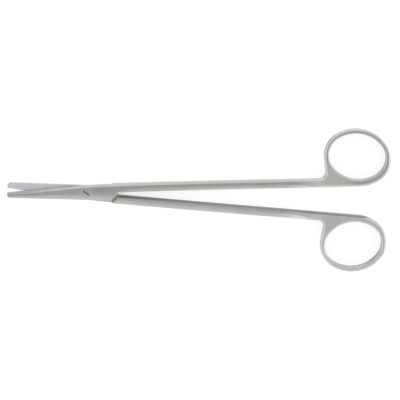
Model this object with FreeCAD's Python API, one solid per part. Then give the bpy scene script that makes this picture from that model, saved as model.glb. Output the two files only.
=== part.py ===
import FreeCAD, Part
import math
import os

from FreeCAD import Vector

os.makedirs("parts", exist_ok=True)

# Dissecting scissors with a lap joint, 180 mm long when closed, with two finger rings.
# Lengths are in millimetres and angles in degrees.
# The origin is where the pivot's axis meets the surface that the scissors lie on.
# +X runs to the rings along the line midway between the shanks, +Z is up.
#
# Both halves are forged to one shape, drawn here for the front half when closed:
# x runs to the ring, +y to its own shank, z up from the plane where the halves meet.
# The front half's joint plate lies above that plane. The rear half is turned over.

# Opening at rest, and the gap between the two joint faces
rest_opening = 6.2
closed_gap = 0.05

# Blade, from the pivot to the tip: widths are to the cutting edge and to the spine
blade_length = 37.2
tip_edge = 1.0
tip_spine = 1.6
tip_thickness = 1.25
edge_slant = 0.28
nose_spine_radius = 1.55
nose_edge_radius = 0.6
nose_top_radius = 0.35

# Joint plate: its slanting end runs from the plate's corner to the crotch of the shanks
joint_thickness = 4.6
heel_edge = 3.54
heel_spine = 3.27
crotch_x = 15.3
plate_slant = 4.0
plate_width = 4.07
plate_bevel = 0.6
plate_bevel_drop = 0.4

# Shoulder of the pocket that takes the other half's plate
shoulder_clearance = 0.15
shoulder_flare = 0.35
shoulder_hollow = 0.30

# Shank: how far its outer and inner sides lie from the middle line
shank_length = 89.7
shank_outer_start = 3.87
shank_outer = 4.03
shank_outer_end = 3.87
shank_inner_start = -0.08
shank_inner_middle = 0.12
shank_inner_end = 0.16
shank_thickness = 3.9
relief_start = 0.42
relief_middle = 0.24

# Ground edges, as width across the face and drop from it
facet_width = 1.0
facet_drop = 0.53
tip_facet_width = 1.3
tip_facet_drop = 0.28
spine_round_width = 3.3
spine_round_drop = 0.6
plate_round_width = 4.4
tip_round_width = 0.7
tip_round_drop = 0.3
shank_round_width = 1.7
shank_round_drop = 0.28
back_round_width = 2.8
back_round_drop = 0.5
back_bevel_width = 0.45
back_bevel_drop = 1.2

# Finger ring: its hole, the band round it, and how far its middle lies past the straight shank
hole_length = 26.92
hole_width = 21.64
hole_tilt = -13.0
band_end = 2.15
band_side = 2.46
ring_turn = -2.5
ring_thickness = 4.6
ring_reach = 21.94
hole_offset_x = -0.1
hole_offset_y = 0.4
hole_round = 0.55
ring_facet_width = 0.8
ring_facet_drop = 0.45
ring_bevel_drop = 2.0
root_reach = 7.3
root_radius = 3.0
oval_fullness = 0.2

# Pivot screw
screw_radius = 1.4
head_radius = 1.85
head_depth = 1.15
head_clearance = 0.06
pivot_clearance = 0.03
thread_clearance = 0.02
mouth_width = 0.36
mouth_depth = 0.14
slot_width = 0.6
slot_depth = 0.55
slot_angle = -36.0

half_joint = joint_thickness / 2
half_shank = shank_thickness / 2
half_ring = ring_thickness / 2
joint_plane = closed_gap / 2
rest_height = max(half_joint, half_ring)
plate_end = crotch_x - plate_slant
shank_end = crotch_x + shank_length
ring_centre_x = shank_end + ring_reach
ring_length = hole_length + 2 * band_end
ring_width = hole_width + 2 * band_side
ring_tilt = hole_tilt + ring_turn
narrowest_band = min(band_end - abs(hole_offset_x), band_side - abs(hole_offset_y))
hair = 0.001

# Shares of the shank's length where it has necked in, and where it swells to the ring
neck_share = 0.12
middle_share = 0.45
swell_share = 0.8

# Cutting tools reach this far past what they cut
beyond = 10.0


def mix(start, end, share):
    return start + (end - start) * share


def line(start, end):
    return Part.LineSegment(start, end).toShape()


def arc(start, middle, end):
    return Part.Arc(start, middle, end).toShape()


def lines(points):
    """Straight edges from each point to the next."""
    return [line(start, end) for start, end in zip(points, points[1:])]


def prism(points, low, high):
    """An upright prism on a polygon of (x, y) corners."""
    corners = [Vector(x, y, low) for x, y in points]
    face = Part.Face(Part.Wire(lines(corners + corners[:1])))
    return face.extrude(Vector(0, 0, high - low))


def upright_edges(body, tallness):
    """The body's upright straight edges that are taller than the given height."""
    return [
        edge for edge in body.Edges
        if edge.BoundBox.ZLength > tallness and edge.BoundBox.DiagonalLength < edge.BoundBox.ZLength + 0.01
    ]


def edge_curve(start, end, bulge):
    """A straight edge, or an arc that rises by bulge above the chord, in a plane across x."""
    if bulge == 0:
        return line(start, end)
    chord = end - start
    normal = Vector(0, -chord.z, chord.y).normalize()
    if normal.z < 0:
        normal = normal * -1
    return arc(start, (start + end) * 0.5 + normal * bulge, end)


def straight(width, drop):
    return (width, drop, 0)


def rounded(width, drop):
    """An edge whose arc leaves the flat face smoothly and falls by drop over width."""
    radius = (width ** 2 + drop ** 2) / (2 * drop)
    half_angle = math.atan2(drop, width)
    return (width, drop, radius * (1 - math.cos(half_angle)))


facet = straight(facet_width, facet_drop)
ring_facet = straight(ring_facet_width, ring_facet_drop)
ring_bevel = straight(ring_facet_width, ring_bevel_drop)


def section(x, outer, inner, crest, outer_edge, inner_edge, slant=0.0):
    """Half of the bar's section: from the joint plane up to the crest.

    Each edge is (width, drop, bulge), ground down from the flat top at the crest.
    """
    outer_width, outer_drop, outer_bulge = outer_edge
    inner_width, inner_drop, inner_bulge = inner_edge
    foot_out = Vector(x, outer, joint_plane)
    wall_out = Vector(x, outer - slant, crest - outer_drop)
    top_out = Vector(x, outer - slant - outer_width, crest)
    top_in = Vector(x, inner + inner_width, crest)
    wall_in = Vector(x, inner, crest - inner_drop)
    foot_in = Vector(x, inner, joint_plane)
    return Part.Wire([
        line(foot_out, wall_out),
        edge_curve(wall_out, top_out, outer_bulge),
        line(top_out, top_in),
        edge_curve(top_in, wall_in, inner_bulge),
        line(wall_in, foot_in),
        line(foot_in, foot_out),
    ])


def blade_and_plate():
    """Blade and joint plate: a straight taper from the heel, and a plate that widens to its end."""
    wires = []
    for share in (1.02, 0.75, 0.5, 0.25, 0.06):
        round_width = mix(spine_round_width, tip_round_width, share)
        round_drop = mix(spine_round_drop, tip_round_drop, share)
        wires.append(section(
            -blade_length * share,
            mix(heel_edge, tip_edge, share),
            -mix(heel_spine, tip_spine, share),
            mix(half_joint, tip_thickness, share),
            straight(mix(facet_width, tip_facet_width, share), mix(facet_drop, tip_facet_drop, share)),
            rounded(round_width, round_drop),
            mix(0, edge_slant, share),
        ))
    plate_slope = (plate_width - heel_spine) / plate_end
    for share in (0.45, 1.0):
        x = crotch_x * share
        wires.append(section(
            x,
            mix(heel_edge, shank_outer_start, share),
            -(heel_spine + plate_slope * x),
            half_joint,
            facet,
            rounded(mix(spine_round_width, plate_round_width, share), spine_round_drop),
        ))
    bar = Part.makeLoft(wires, True, False)
    return bar.common(nose_outline()).common(nose_side()).cut(plate_end_cut())


def nose_outline():
    """The blade's outline from above with a rounded tip, a hair outside its straight sides."""
    margin = 0.03
    far = crotch_x + beyond
    blank = prism(
        [(-blade_length, -tip_spine - margin), (-blade_length, tip_edge + margin), (0, heel_edge + margin),
         (far, heel_edge + beyond), (far, -heel_spine - beyond), (0, -heel_spine - margin)],
        -beyond, beyond)
    for radius, side in ((nose_spine_radius, -1), (nose_edge_radius, 1)):
        corner = [
            edge for edge in upright_edges(blank, beyond)
            if edge.BoundBox.XMax < margin - blade_length and edge.BoundBox.YMin * side > 0
        ]
        blank = blank.makeFillet(radius, corner)
    return blank


def nose_side():
    """Seen from the side, the tip's upper corner is rounded down to its end."""
    centre = Vector(nose_top_radius - blade_length, -beyond, tip_thickness - nose_top_radius)
    lean = nose_top_radius * math.sin(math.pi / 4)
    end = centre + Vector(-nose_top_radius, 0, 0)
    top = centre + Vector(0, 0, nose_top_radius)
    far = crotch_x + beyond
    sides = [
        top,
        Vector(far, -beyond, half_joint + beyond),
        Vector(far, -beyond, -beyond),
        Vector(-blade_length, -beyond, -beyond),
        end,
    ]
    wire = Part.Wire([arc(end, centre + Vector(-lean, 0, lean), top)] + lines(sides))
    return Part.Face(wire).extrude(Vector(0, 2 * beyond, 0))


def plate_end_cut():
    """What lies past the slanting end of the joint plate, and the bevel along that end."""
    corner = Vector(plate_end, -plate_width, 0)
    crotch = Vector(crotch_x, shank_inner_start, 0)
    along = (crotch - corner).normalize()
    inward = Vector(-along.y, along.x, 0)
    outside = corner - along * beyond
    far = crotch_x + beyond
    past = prism(
        [(outside.x, outside.y), (crotch.x, crotch.y), (far, crotch.y), (far, outside.y)],
        -beyond, beyond)
    low = outside + Vector(0, 0, half_joint - plate_bevel_drop)
    top = outside + Vector(0, 0, half_joint) + inward * plate_bevel
    above = outside + Vector(0, 0, joint_thickness)
    bevel = Part.Face(Part.Wire(lines([low, top, above, low - inward * plate_bevel, low])))
    return past.fuse(bevel.extrude(crotch - outside))


def shank_front():
    """The shank above the joint plane: ground facet outside, rounded inside."""
    soft = rounded(shank_round_width, shank_round_drop)
    wires = [
        section(crotch_x, shank_outer_start, shank_inner_start, half_joint, facet,
                rounded(plate_bevel, plate_bevel_drop)),
        section(crotch_x + neck_share * shank_length, mix(shank_outer_start, shank_outer, 0.5),
                mix(shank_inner_start, shank_inner_middle, 0.35), mix(half_joint, half_shank, 0.4),
                facet, soft),
        section(crotch_x + middle_share * shank_length, shank_outer,
                shank_inner_middle, half_shank, facet, soft),
        section(crotch_x + swell_share * shank_length, mix(shank_outer, shank_outer_end, 0.5),
                mix(shank_inner_middle, shank_inner_end, 0.7), mix(half_shank, half_ring, 0.45), facet, soft),
        section(shank_end, shank_outer_end, shank_inner_end, half_ring, ring_facet, ring_facet),
    ]
    return Part.makeLoft(wires, True, False)


def back_section(x, outer, inner, crest):
    """The back's section: a crown over most of its width, and a steep bevel along the inner side."""
    land = 0.1
    width = min(back_round_width, outer - inner - back_bevel_width - land)
    return section(x, outer, inner, crest, rounded(width, back_round_drop),
                   straight(back_bevel_width, back_bevel_drop))


def shank_back():
    """The shank below the joint plane: it stands back inside, so that the other shank's lip clears it."""
    under_plate = 3.0
    wires = [
        back_section(plate_end - under_plate, shank_outer_start, relief_start, half_joint),
        back_section(crotch_x + neck_share * shank_length, mix(shank_outer_start, shank_outer, 0.5),
                     mix(relief_start, relief_middle, 0.35), mix(half_joint, half_shank, 0.4)),
        back_section(crotch_x + middle_share * shank_length, shank_outer, relief_middle, half_shank),
        back_section(crotch_x + swell_share * shank_length, mix(shank_outer, shank_outer_end, 0.5),
                     mix(relief_middle, shank_inner_end, 0.8), mix(half_shank, half_ring, 0.45)),
        section(shank_end, shank_outer_end, shank_inner_end, half_ring, ring_facet, ring_bevel),
    ]
    bar = Part.makeLoft(wires, True, False)
    return bar.mirror(Vector(0, 0, joint_plane), Vector(0, 0, 1)).cut(joint_pocket())


def joint_pocket():
    """Pocket for the other half's plate: its shoulder is a shallow hollow arc along that plate's end."""
    corner = Vector(plate_end, plate_width, -beyond)
    crotch = Vector(crotch_x, -shank_inner_start, -beyond)
    along = (crotch - corner).normalize()
    away = Vector(-along.y, along.x, 0)
    if away.x < 0:
        away = away * -1
    run_out = 2.5
    start = corner - along * run_out + away * (shoulder_clearance + shoulder_flare)
    end = crotch + along * run_out + away * shoulder_clearance
    middle = (start + end) * 0.5 + away * shoulder_hollow
    left = -blade_length - beyond
    sides = [
        end,
        Vector(end.x, -beyond, -beyond),
        Vector(left, -beyond, -beyond),
        Vector(left, beyond, -beyond),
        Vector(start.x, beyond, -beyond),
        start,
    ]
    wire = Part.Wire([arc(start, middle, end)] + lines(sides))
    return Part.Face(wire).extrude(Vector(0, 0, 2 * beyond))


def oval_arcs(length, width):
    """Radii of an oval's end and side arcs, and how far their centres lie from its middle."""
    long, short = length / 2, width / 2
    end_radius = mix(short ** 2 / long, short, oval_fullness)
    side_radius = (long ** 2 - 2 * long * end_radius + short ** 2) / (2 * (short - end_radius))
    return end_radius, side_radius, long - end_radius, side_radius - short


def oval(length, width, tilt, centre, low, high):
    """An upright oval cylinder of four tangent arcs, its long axis turned by tilt."""
    end_radius, side_radius, end_centre, side_centre = oval_arcs(length, width)
    reach = side_radius / (side_radius - end_radius)
    x = end_centre * reach
    y = side_centre * (reach - 1)
    side, end = Vector(0, width / 2, 0), Vector(length / 2, 0, 0)
    wire = Part.Wire([
        arc(Vector(-x, y, 0), side, Vector(x, y, 0)),
        arc(Vector(x, y, 0), end, Vector(x, -y, 0)),
        arc(Vector(x, -y, 0), side * -1, Vector(-x, -y, 0)),
        arc(Vector(-x, -y, 0), end * -1, Vector(-x, y, 0)),
    ])
    solid = Part.Face(wire).extrude(Vector(0, 0, high - low))
    solid.rotate(Vector(0, 0, 0), Vector(0, 0, 1), tilt)
    solid.translate(Vector(centre.x, centre.y, low))
    return solid


def tangent_point(point, centre, radius):
    """Where the line from a point touches a circle, on the side away from the ring's middle."""
    away = point - centre
    angle = math.atan2(away.y, away.x) - math.acos(radius / away.Length)
    return centre + Vector(math.cos(angle), math.sin(angle), 0) * radius


def finger_ring():
    """Ring and root: one outline with a bevel all round, and a finger hole with rounded rims."""
    tilt = math.radians(ring_tilt)
    end_radius, side_radius, end_centre, side_centre = oval_arcs(ring_length, ring_width)
    depth = side_radius - side_centre * math.cos(tilt)
    lowest = -side_centre * math.sin(tilt)
    centre = Vector(ring_centre_x, shank_inner_end + depth, 0)
    disc = oval(ring_length, ring_width, ring_tilt, centre, -half_ring, half_ring)
    near_end = centre - Vector(math.cos(tilt), math.sin(tilt), 0) * end_centre
    corner = Vector(shank_end + root_reach, shank_outer_end, 0)
    touch = tangent_point(corner, near_end, end_radius)
    web = prism(
        [(shank_end, shank_inner_end), (centre.x + lowest, shank_inner_end), (centre.x, centre.y),
         (touch.x, touch.y), (corner.x, corner.y), (shank_end, shank_outer_end)],
        -half_ring, half_ring)
    body = disc.fuse(web).removeSplitter()
    root = [
        edge for edge in upright_edges(body, ring_thickness - hair)
        if abs(edge.BoundBox.YMin - shank_outer_end) < hair and shank_end + hair < edge.BoundBox.XMin < centre.x
    ]
    body = body.makeFillet(root_radius, root)
    rim = [
        edge for edge in body.Edges
        if edge.BoundBox.ZLength < hair and edge.BoundBox.XMax > shank_end + hair
    ]
    body = body.makeChamfer(ring_facet_drop, ring_facet_width, rim)
    slope = [
        Vector(shank_end, shank_inner_end, ring_bevel_drop - half_ring),
        Vector(shank_end, shank_inner_end + ring_facet_width, -half_ring),
    ]
    below = Vector(0, 0, -2 * ring_bevel_drop)
    sides = slope + [slope[1] + below, slope[0] + below, slope[0]]
    wedge = Part.Face(Part.Wire(lines(sides))).extrude(Vector(ring_length, 0, 0))
    body = body.cut(wedge)
    hole_centre = centre + Vector(hole_offset_x, hole_offset_y, 0)
    hole = oval(hole_length, hole_width, hole_tilt, hole_centre, -half_ring, half_ring)
    body = body.cut(hole)
    corners = [vertex.Point for vertex in hole.Vertexes]
    mouths = [
        edge for edge in body.Edges
        if edge.BoundBox.ZLength < hair
        and all(min(vertex.Point.distanceToPoint(c) for c in corners) < hair for vertex in edge.Vertexes)
    ]
    land = 0.08
    return body.makeFillet(min(hole_round, narrowest_band - ring_facet_width - land), mouths)


def half():
    """One forging: blade, joint plate, shank and finger ring in one piece."""
    return blade_and_plate().fuse([shank_front(), shank_back(), finger_ring()]).removeSplitter()


def upright_cylinder(radius, low, high):
    return Part.makeCylinder(radius, high - low, Vector(0, 0, low))


def front_half():
    """The upper half: its plate is bored for the screw and let in for the screw's head."""
    well_radius = head_radius + head_clearance
    bore = upright_cylinder(screw_radius + pivot_clearance, -beyond, beyond)
    well = upright_cylinder(well_radius, half_joint - head_depth, beyond)
    mouth = Part.makeCone(
        well_radius, well_radius + mouth_width, mouth_depth, Vector(0, 0, half_joint - mouth_depth))
    return half().cut(bore.fuse([well, mouth]))


def rear_half():
    """The lower half: the same forging turned over, with the screw's tapped hole."""
    tapped = upright_cylinder(screw_radius + thread_clearance, -beyond, beyond)
    body = half().cut(tapped)
    body.rotate(Vector(0, 0, 0), Vector(1, 0, 0), 180)
    return body


def pivot_screw():
    """Slotted screw, its head and its end ground flush with the two halves."""
    seat = half_joint - head_depth
    plate = blade_and_plate()
    plate.rotate(Vector(0, 0, 0), Vector(0, 0, 1), rest_opening / 2)
    head = upright_cylinder(head_radius, seat, half_joint).common(plate)
    body = upright_cylinder(screw_radius, -half_joint, seat).fuse(head)
    slot = Part.makeBox(
        4 * head_radius, slot_width, 2 * slot_depth,
        Vector(-2 * head_radius, -slot_width / 2, half_joint - slot_depth))
    slot.rotate(Vector(0, 0, 0), Vector(0, 0, 1), slot_angle)
    return body.cut(slot).removeSplitter()


def save(name, body, opening):
    """Turn a piece about the pivot by its share of the opening, stand it on z = 0 and write it."""
    body.rotate(Vector(0, 0, 0), Vector(0, 0, 1), opening)
    body.translate(Vector(0, 0, rest_height))
    solid = body.Solids[0]
    solid.exportStep("parts/" + name + ".step")
    print(name, "valid", solid.isValid(), "solids", len(body.Solids), "volume", round(solid.Volume, 1))


save("front_half", front_half(), rest_opening / 2)
save("rear_half", rear_half(), -rest_opening / 2)
save("pivot_screw", pivot_screw(), 0)
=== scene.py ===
import math

import bpy
from mathutils import Matrix, Vector

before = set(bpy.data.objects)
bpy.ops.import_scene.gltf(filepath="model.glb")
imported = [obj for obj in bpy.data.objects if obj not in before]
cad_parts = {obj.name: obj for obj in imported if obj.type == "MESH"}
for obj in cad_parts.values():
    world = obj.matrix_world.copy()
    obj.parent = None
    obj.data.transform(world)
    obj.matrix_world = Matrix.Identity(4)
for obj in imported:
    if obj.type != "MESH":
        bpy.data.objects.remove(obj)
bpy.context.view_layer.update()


# Camera: the photograph looks down at the scissors from 0.69 m, leaning 10 degrees to the
# front ring's side and turned 1.7 degrees. Its frame is square, 400 pixels on a side.
distance = 0.69
lean = math.radians(10.0)
turn = math.radians(1.739)
pixel = 0.469e-3
pivot_pixel = Vector((86.67, 192.3))
frame_middle = 200.0
joint_middle = 2.3e-3
film_width = 36.0
nearest_shown = 0.01

image_right = Vector((math.cos(turn), math.sin(turn), 0))
image_away = Vector((-math.sin(turn), math.cos(turn), 0))
towards_camera = image_away * math.sin(lean) + Vector((0, 0, math.cos(lean)))
image_up = image_away * math.cos(lean) - Vector((0, 0, math.sin(lean)))
aim_right = (frame_middle - pivot_pixel.x) * pixel
aim_away = (pivot_pixel.y - frame_middle) * pixel / math.cos(lean)
aim = image_right * aim_right + image_away * aim_away + Vector((0, 0, joint_middle))
place = aim + towards_camera * distance

camera = bpy.data.objects.new("camera", bpy.data.cameras.new("camera"))
camera.data.sensor_width = film_width
camera.data.lens = film_width * distance / (pixel * 2 * frame_middle)
camera.data.clip_start = nearest_shown
camera.matrix_world = Matrix.Translation(place) @ Matrix(
    [image_right, image_up, towards_camera]).transposed().to_4x4()
bpy.context.scene.collection.objects.link(camera)
bpy.context.scene.camera = camera
bpy.context.scene.view_settings.view_transform = "Standard"


# Table top: a white matt board that the scissors lie on, big enough to fill every view.
# It is stage, not part of the scissors, and keeps their soft shadow.
board_half = 3.0
board_drop = 0.05e-3
board_grey = (0.45, 0.45, 0.45, 1)
seen_glow = 0.71


def add_node(tree, kind, inputs=None, **settings):
    """A shader node with its settings, and with its inputs set to values or linked."""
    node = tree.nodes.new("ShaderNode" + kind)
    for name, value in settings.items():
        setattr(node, name, value)
    for socket, value in (inputs or {}).items():
        if isinstance(value, bpy.types.NodeSocket):
            tree.links.new(value, node.inputs[socket])
        else:
            node.inputs[socket].default_value = value
    return node


def arithmetic(tree, operation, *values, clamped=False):
    """The result of a Math node on sockets or plain numbers."""
    inputs = dict(enumerate(values))
    return add_node(tree, "Math", inputs, operation=operation, use_clamp=clamped).outputs[0]


board_mesh = bpy.data.meshes.new("board")
board_mesh.from_pydata(
    [(-board_half, -board_half, 0), (board_half, -board_half, 0),
     (board_half, board_half, 0), (-board_half, board_half, 0)], [], [(0, 1, 2, 3)])
board = bpy.data.objects.new("board", board_mesh)
board.location.z = -board_drop
bpy.context.scene.collection.objects.link(board)
board_finish = bpy.data.materials.new("matt board")
board_finish.use_nodes = True
tree = board_finish.node_tree
tree.nodes.clear()
path = add_node(tree, "LightPath").outputs
seen = arithmetic(tree, "MAXIMUM", path["Is Camera Ray"], path["Is Glossy Ray"])
seen = arithmetic(tree, "MAXIMUM", seen, path["Is Transmission Ray"])
glow = add_node(tree, "Emission", {"Strength": arithmetic(tree, "MULTIPLY", seen, seen_glow)})
matt = add_node(tree, "BsdfDiffuse", {"Color": board_grey})
both = add_node(tree, "AddShader", {0: matt.outputs[0], 1: glow.outputs[0]})
add_node(tree, "OutputMaterial", {"Surface": both.outputs[0]})
board_mesh.materials.append(board_finish)


# Light: a white tent round the table. It is dimmer overhead, where the camera looks in,
# bright all round at middle height, and a little greyer and cooler down at the table. Its two
# ends, past the blades and past the rings, and its far side are the brightest.
table_shade = (0.70, 0.72, 0.75, 1)
cloth_white = (1.0, 1.0, 1.0, 1)
dimming_shade = (0.46, 0.46, 0.46, 1)
overhead_shade = (0.38, 0.38, 0.38, 1)
bright_from = 0.25
bright_to = 0.62
dimmed_from = 0.82
tip_side_share = 0.96
far_side_share = 0.95
ends_brighten = (0.78, 0.96)
end_brightness = 1.9


def ramp_between(tree, value, start, end, low=0.0, high=1.0):
    """Low before start and high past end, smooth between."""
    inputs = {"Value": value, "From Min": start, "From Max": end, "To Min": low, "To Max": high}
    return add_node(tree, "MapRange", inputs, interpolation_type="SMOOTHSTEP").outputs[0]


tent = bpy.data.worlds.new("light tent")
bpy.context.scene.world = tent
tent.use_nodes = True
tree = tent.node_tree
tree.nodes.clear()
direction = add_node(tree, "TexCoord").outputs["Generated"]
sides = add_node(tree, "SeparateXYZ", {0: direction}).outputs
height = arithmetic(tree, "ARCSINE", sides["Z"])
level = add_node(tree, "MapRange", {"Value": height, "From Min": 0.0, "From Max": math.pi / 2})
bands = add_node(tree, "ValToRGB", {"Fac": level.outputs[0]})
bands.color_ramp.interpolation = "EASE"
stops = bands.color_ramp.elements
stops[0].position = 0.0
stops[0].color = table_shade
stops[1].position = 1.0
stops[1].color = overhead_shade
for position, shade in (
        (bright_from, cloth_white), (bright_to, cloth_white), (dimmed_from, dimming_shade)):
    stops.new(position).color = shade
tip_side = arithmetic(tree, "MULTIPLY", sides["X"], -tip_side_share)
far_side = arithmetic(tree, "MULTIPLY", sides["Y"], far_side_share)
outmost = arithmetic(
    tree, "MAXIMUM", arithmetic(tree, "MAXIMUM", sides["X"], tip_side), far_side)
strength = ramp_between(tree, outmost, *ends_brighten, 1.0, end_brightness)
cloth = add_node(tree, "Background", {"Color": bands.outputs["Color"], "Strength": strength})
add_node(tree, "OutputWorld", {"Surface": cloth.outputs[0]})


# Front half: blade, joint plate, shank and ring, forged in stainless steel as one piece.
# It is ground on belts, so the grain runs along the blade and shank and round the ring, and
# then satin finished. Only the face that slides on the other blade is ground across.
half_turn = math.radians(3.1)
ring_middle = (0.12684, 0.01397)
ring_radius = 0.013
ring_root = 0.105
joint_plane = 2.3e-3

polished_steel = (0.565, 0.578, 0.545, 1)
# Painted sheen: a lighter colour for the flats of the ring and of the web at its root
sheen_steel = (0.85, 0.865, 0.825, 1)
ground_across = (0.70, 0.718, 0.765, 1)
# Painted shade: darker colours for the slit between the shanks, lighter near the crotch
slit_shade = (0.262, 0.270, 0.274, 1)
crotch_shade = (0.36, 0.37, 0.35, 1)
# Painted shade on the ring's steep walls, inside the hole and facing the blades
hole_wall_shade = (0.36, 0.37, 0.365, 1)
outer_wall_shadow = (0.20, 0.21, 0.215, 1)
# Wear and painted highlight: a lighter colour along the rounded edges
worn_highlight_steel = (0.70, 0.70, 0.69, 1)
scratch_shade = (0.86, 0.865, 0.86, 1)
cloud_shade = (0.93, 0.935, 0.92, 1)

scratch_width = 0.10e-3
shank_scratch = 5.0e-3
ring_scratch = 3.0e-3
cross_scratch_width = 0.14e-3
cross_scratch = 2.2e-3
scratch_depth = 6e-6
scratch_relief = 0.35
scratch_roughness = 0.14
clouds_per_metre = 170.0
edge_radius = 0.12e-3
ring_edge_radius = 0.30e-3
edge_sharpness = 3.0


def product(tree, first, *others):
    """Values or masks multiplied together."""
    for other in others:
        first = arithmetic(tree, "MULTIPLY", first, other)
    return first


def largest(tree, first, *others):
    """The largest of some masks."""
    for other in others:
        first = arithmetic(tree, "MAXIMUM", first, other)
    return first


def outside(tree, mask):
    """The mask turned round, 1 where it was 0."""
    return arithmetic(tree, "SUBTRACT", 1.0, mask)


def mixed_values(tree, first, second, share):
    """Two values mixed, the second by its share."""
    inputs = {"Factor": share, "A": first, "B": second}
    return add_node(tree, "Mix", inputs, data_type="FLOAT").outputs["Result"]


def mixed_colours(tree, first, second, share, blend="MIX"):
    """Two colours mixed. On a Mix node they are the sockets 6 and 7, and the result is output 2."""
    inputs = {"Factor": share, 6: first, 7: second}
    return add_node(tree, "Mix", inputs, data_type="RGBA", blend_type=blend).outputs[2]


def turned_back(tree, source, kind, angle):
    """The x, y and z of a point or a vector, turned back by the angle about the pivot."""
    turning = add_node(
        tree, "Mapping", {"Vector": source, "Rotation": (0, 0, -angle)}, vector_type=kind)
    return add_node(tree, "SeparateXYZ", {0: turning.outputs[0]}).outputs


def new_group(name, inputs, outputs):
    """An empty shader group with its sockets, and the sockets inside it."""
    tree = bpy.data.node_groups.new(name, "ShaderNodeTree")
    for label, kind in inputs:
        tree.interface.new_socket(label, in_out="INPUT", socket_type=kind)
    for label, kind in outputs:
        tree.interface.new_socket(label, in_out="OUTPUT", socket_type=kind)
    return tree, tree.nodes.new("NodeGroupInput").outputs, tree.nodes.new("NodeGroupOutput").inputs


def belt_grain():
    """Fine parallel scratches along a direction, and the soft clouds that polishing leaves."""
    number = "NodeSocketFloat"
    tree, given, result = new_group(
        "belt grain",
        [("Along", number), ("Across", number), ("Height", number),
         ("Scratch Width", number), ("Scratch Length", number)],
        [("Scratches", number), ("Clouds", number)])
    stretched = add_node(tree, "CombineXYZ", {
        0: arithmetic(tree, "DIVIDE", given["Along"], given["Scratch Length"]),
        1: arithmetic(tree, "DIVIDE", given["Across"], given["Scratch Width"]),
        2: arithmetic(tree, "DIVIDE", given["Height"], given["Scratch Width"])})
    scratches = add_node(tree, "TexNoise", {
        "Vector": stretched.outputs[0], "Scale": 1.0, "Detail": 3.0, "Roughness": 0.7})
    tree.links.new(scratches.outputs["Fac"], result["Scratches"])
    plain = add_node(tree, "CombineXYZ", {
        0: given["Along"], 1: given["Across"], 2: given["Height"]})
    clouds = add_node(tree, "TexNoise", {
        "Vector": plain.outputs[0], "Scale": clouds_per_metre, "Detail": 2.0})
    tree.links.new(clouds.outputs["Fac"], result["Clouds"])
    return tree


def edge_wear_and_highlight():
    """Where an edge is worn smooth and gets a painted highlight, and the normal that rounds it."""
    number = "NodeSocketFloat"
    tree, given, result = new_group(
        "edge wear and highlight", [("Sharpness", number), ("Radius", number)],
        [("Edge", number), ("Normal", "NodeSocketVector")])
    soft = add_node(tree, "Bevel", {"Radius": given["Radius"]}, samples=6).outputs[0]
    surface = add_node(tree, "NewGeometry").outputs["Normal"]
    meeting = add_node(tree, "VectorMath", {0: soft, 1: surface}, operation="DOT_PRODUCT")
    bend = outside(tree, meeting.outputs["Value"])
    edge = arithmetic(tree, "MULTIPLY", bend, given["Sharpness"], clamped=True)
    tree.links.new(edge, result["Edge"])
    tree.links.new(soft, result["Normal"])
    return tree


grain_group = belt_grain()
edge_group = edge_wear_and_highlight()


def add_grain(tree, along, across, high, width, length):
    """The belt grain on a surface, with scratches this wide and this long."""
    inputs = {"Along": along, "Across": across, "Height": high,
              "Scratch Width": width, "Scratch Length": length}
    return add_node(tree, "Group", inputs, node_tree=grain_group).outputs


def add_edges(tree, radius):
    """The edges of a piece, rounded to this radius, with their wear and painted highlight."""
    inputs = {"Sharpness": edge_sharpness, "Radius": radius}
    return add_node(tree, "Group", inputs, node_tree=edge_group).outputs


def scratched_normal(tree, scratches, smooth_normal):
    """The normal of a surface that the scratches are cut into."""
    inputs = {"Strength": scratch_relief, "Distance": scratch_depth,
              "Height": scratches, "Normal": smooth_normal}
    return add_node(tree, "Bump", inputs).outputs[0]


def new_steel(name):
    """A bare metal material, its shader nodes and the sockets of its one shader."""
    steel = bpy.data.materials.new(name)
    steel.use_nodes = True
    tree = steel.node_tree
    shader = tree.nodes["Principled BSDF"].inputs
    shader["Metallic"].default_value = 1.0
    return steel, tree, shader


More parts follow.
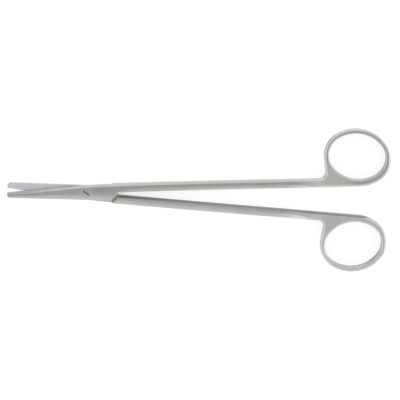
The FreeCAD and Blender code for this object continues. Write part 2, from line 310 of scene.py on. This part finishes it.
def half_steel(name, angle, side, sheen_from, ring_sheen, lip_shade):
    """The steel of one half, which is turned by angle about the pivot.

    Its ring lies on side, +1 or -1. The shank's flats get painted sheen, a lighter colour, from
    sheen_from on, towards the web at the ring's root. ring_sheen is how far, 0 to 1, the whole
    ring's flats get that painted sheen, and lip_shade how far the lip of the slit is darkened near
    the joint as painted shade.
    Each pair of limits below is the start and the end of a smooth change.
    """
    steel, tree, shader = new_steel(name)

    # Where a point lies and where its face looks, in the half's own directions
    coordinates = add_node(tree, "TexCoord").outputs
    spot = turned_back(tree, coordinates["Object"], "POINT", angle)
    along = spot["X"]
    across = product(tree, spot["Y"], side)
    high = spot["Z"]
    faced = turned_back(tree, coordinates["Normal"], "VECTOR", angle)
    to_rings = faced["X"]
    to_tip = product(tree, to_rings, -1.0)
    outward = product(tree, faced["Y"], side)
    inward = product(tree, outward, -1.0)
    level_face = arithmetic(tree, "ABSOLUTE", faced["Z"])
    flat_limits = (0.90, 0.98)
    flat = ramp_between(tree, level_face, *flat_limits)
    nearly_level_limits = (0.84, 0.96)
    nearly_level = ramp_between(tree, level_face, *nearly_level_limits)
    steep_limits = (0.10, 0.40)
    steep = outside(tree, ramp_between(tree, level_face, *steep_limits))

    # The ring, its walls inside the hole and towards the blades, and the web at its root
    from_x = arithmetic(tree, "SUBTRACT", along, ring_middle[0])
    from_y = arithmetic(tree, "SUBTRACT", across, ring_middle[1])
    from_middle = arithmetic(tree, "SQRT", arithmetic(
        tree, "ADD", product(tree, from_x, from_x), product(tree, from_y, from_y)))
    round_angle = arithmetic(tree, "ARCTAN2", from_y, product(tree, from_x, -1.0))
    round_ring = product(tree, round_angle, ring_radius)
    ring_begins = (0.107, 0.113)
    on_ring = ramp_between(tree, along, *ring_begins)
    from_hole = arithmetic(
        tree, "ADD", product(tree, from_x, to_rings), product(tree, from_y, outward))
    to_hole = arithmetic(tree, "DIVIDE", from_hole, product(tree, from_middle, -1.0))
    # Masks for the painted shade on the ring's steep walls
    hole_wall_faces = (0.2, 0.6)
    hole_wall = product(tree, ramp_between(tree, to_hole, *hole_wall_faces), steep, on_ring)
    near_wall_faces = (0.45, 0.75)
    near_wall = product(tree, ramp_between(tree, to_tip, *near_wall_faces), steep, on_ring)
    # Where the painted sheen runs from the shank onto the web at the ring's root
    web_ends = (0.116, 0.134)
    web_side_ends = (0.008, 0.016)
    web_full = 0.109
    on_web = product(
        tree, ramp_between(tree, along, sheen_from, web_full),
        outside(tree, ramp_between(tree, along, *web_ends)),
        outside(tree, ramp_between(tree, across, *web_side_ends)))

    # The face that slides on the other half, and the floor of the pocket behind it
    from_plane = arithmetic(tree, "ABSOLUTE", arithmetic(tree, "SUBTRACT", high, joint_plane))
    joint_plane_ends = (0.06e-3, 0.09e-3)
    in_plane = outside(tree, ramp_between(tree, from_plane, *joint_plane_ends))
    plate_ends = (0.0116, 0.0126)
    past_plate = ramp_between(tree, along, *plate_ends)
    sliding = product(tree, in_plane, flat, outside(tree, past_plate))
    pocket_floor = product(tree, in_plane, flat, past_plate)

    # The slit between the shanks, and the lip above it near the crotch, where shade is painted
    slit_side_ends = (1.2e-3, 1.9e-3)
    near_line = outside(tree, ramp_between(tree, across, *slit_side_ends))
    slit_begins = (0.0105, 0.0125)
    slit_faces = (0.55, 0.85)
    in_slit = product(
        tree, ramp_between(tree, inward, *slit_faces), near_line,
        ramp_between(tree, along, *slit_begins))
    lip_begins = (0.0146, 0.0156)
    lip_ends = (0.024, 0.044)
    lip_faces = (0.10, 0.40)
    lip = product(
        tree, ramp_between(tree, inward, *lip_faces), near_line,
        ramp_between(tree, along, *lip_begins),
        outside(tree, ramp_between(tree, along, *lip_ends)))
    # Painted shade: the slit side, the lip near the crotch and the pocket floor are darkened
    floor_shade = 0.5
    painted_shade = largest(
        tree, product(tree, lip, lip_shade), in_slit, product(tree, pocket_floor, floor_shade))

    # The grain of each belt, and the edges, which fade out where the shank meets the ring's root
    shank_grain = add_grain(tree, along, across, high, scratch_width, shank_scratch)
    ring_grain = add_grain(tree, round_ring, from_middle, high, scratch_width, ring_scratch)
    cross_grain = add_grain(tree, across, along, high, cross_scratch_width, cross_scratch)
    scratches = mixed_values(
        tree, mixed_values(tree, shank_grain["Scratches"], ring_grain["Scratches"], on_ring),
        cross_grain["Scratches"], sliding)
    from_root = arithmetic(tree, "ABSOLUTE", arithmetic(tree, "SUBTRACT", along, ring_root))
    root_blend_ends = (0.4e-3, 0.9e-3)
    unblended = ramp_between(tree, from_root, *root_blend_ends)
    edges = add_edges(tree, product(
        tree, mixed_values(tree, edge_radius, ring_edge_radius, on_ring), unblended))

    # Colour: polished or ground, with painted sheen on the ring and web flats and painted shade on
    # the ring's walls, in the slit, on the lip and on the pocket floor, then the marks of use
    # Painted sheen: the flats of the ring and the web are lighter
    painted_sheen = product(
        tree, nearly_level, largest(tree, on_web, product(tree, on_ring, ring_sheen)))
    tone = mixed_colours(tree, polished_steel, sheen_steel, painted_sheen)
    # Painted shade on the ring's walls
    tone = mixed_colours(tree, tone, hole_wall_shade, hole_wall)
    tone = mixed_colours(tree, tone, outer_wall_shadow, near_wall)
    tone = mixed_colours(tree, tone, ground_across, sliding)
    # The slit's painted shade is lighter near the crotch and darker further out
    slit_darkens = (0.012, 0.060)
    away = ramp_between(tree, along, *slit_darkens)
    tone = mixed_colours(
        tree, tone, mixed_colours(tree, crotch_shade, slit_shade, away), painted_shade)
    streak_limits = (0.32, 0.68)
    shank_streaks = 0.5
    ring_streaks = 0.3
    streaks = product(
        tree, outside(tree, ramp_between(tree, scratches, *streak_limits)),
        mixed_values(tree, shank_streaks, ring_streaks, on_ring))
    tone = mixed_colours(tree, tone, scratch_shade, streaks, "MULTIPLY")
    cloud_limits = (0.35, 0.65)
    cloud_share = 0.6
    clouds = product(
        tree, outside(tree, ramp_between(tree, shank_grain["Clouds"], *cloud_limits)), cloud_share)
    tone = mixed_colours(tree, tone, cloud_shade, clouds, "MULTIPLY")
    # The edges' wear and painted highlight: a lighter colour along them
    worn_highlight_share = 0.6
    tone = mixed_colours(tree, tone, worn_highlight_steel, product(tree, edges["Edge"], worn_highlight_share))
    tree.links.new(tone, shader["Base Color"])

    # Roughness: the ring is smoothest and the sliding face roughest, and edges are worn smoother
    shank_roughness = 0.33
    ring_roughness = 0.26
    sliding_roughness = 0.60
    worn_smoother = 0.08
    mean_scratch = 0.5
    roughness = mixed_values(
        tree, mixed_values(tree, shank_roughness, ring_roughness, on_ring),
        sliding_roughness, sliding)
    from_mean = arithmetic(tree, "SUBTRACT", scratches, mean_scratch)
    roughness = arithmetic(tree, "ADD", roughness, product(tree, from_mean, scratch_roughness))
    roughness = arithmetic(
        tree, "SUBTRACT", roughness, product(tree, edges["Edge"], worn_smoother), clamped=True)
    tree.links.new(roughness, shader["Roughness"])

    # Relief: the scratches are shallower on the ring
    shallower_on_ring = 0.65
    cut_depth = outside(tree, product(tree, on_ring, shallower_on_ring))
    normal = scratched_normal(tree, product(tree, scratches, cut_depth), edges["Normal"])
    tree.links.new(normal, shader["Normal"])
    return steel


front_steel = half_steel(
    "satin steel, front half", half_turn, 1.0,
    sheen_from=0.096, ring_sheen=0.3, lip_shade=0.7)
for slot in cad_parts["front_half"].material_slots:
    slot.material = front_steel


# Rear half: the same forging turned over, so its ring lies on the other side.
# It is ground and satin finished as the front half is, with more painted sheen on its ring,
# and is tapped for the screw.
rear_steel = half_steel(
    "satin steel, rear half", -half_turn, -1.0,
    sheen_from=0.086, ring_sheen=1.0, lip_shade=0.0)
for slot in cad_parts["rear_half"].material_slots:
    slot.material = rear_steel


# Pivot screw: turned from the same steel, driven home, and ground flush with the plate, so
# its head carries the plate's grain. Its slot is darkened below the head's top as painted shade.
slot_angle = math.radians(-36.0)
slot_half_width = 0.30e-3
slot_edge = (slot_half_width + 0.01e-3, slot_half_width + 0.04e-3)
shaded_depths = (4.22e-3, 4.36e-3)
slot_shade = (0.20, 0.20, 0.19, 1)
head_dark = (0.53, 0.542, 0.51, 1)
head_bright = (0.585, 0.595, 0.565, 1)
# The head's edges get wear and painted highlight, and its slot painted shade
head_worn_highlight_share = 0.5
head_roughness = 0.26

screw_steel, tree, shader = new_steel("ground screw steel")
head_spot = add_node(tree, "TexCoord").outputs["Object"]
ground = turned_back(tree, head_spot, "POINT", half_turn)
head_grain = add_grain(
    tree, ground["X"], ground["Y"], ground["Z"], scratch_width, shank_scratch)["Scratches"]
by_slot = turned_back(tree, head_spot, "POINT", slot_angle)
beside_slot = arithmetic(tree, "ABSOLUTE", by_slot["Y"])
within = outside(tree, ramp_between(tree, beside_slot, *slot_edge))
sunk = outside(tree, ramp_between(tree, by_slot["Z"], *shaded_depths))
edges = add_edges(tree, edge_radius)
tone = mixed_colours(tree, head_dark, head_bright, head_grain)
tone = mixed_colours(tree, tone, worn_highlight_steel, product(tree, edges["Edge"], head_worn_highlight_share))
# Painted shade in the slot
tone = mixed_colours(tree, tone, slot_shade, product(tree, within, sunk))
tree.links.new(tone, shader["Base Color"])
roughness = arithmetic(tree, "ADD", product(tree, head_grain, scratch_roughness), head_roughness)
tree.links.new(roughness, shader["Roughness"])
tree.links.new(scratched_normal(tree, head_grain, edges["Normal"]), shader["Normal"])
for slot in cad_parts["pivot_screw"].material_slots:
    slot.material = screw_steel
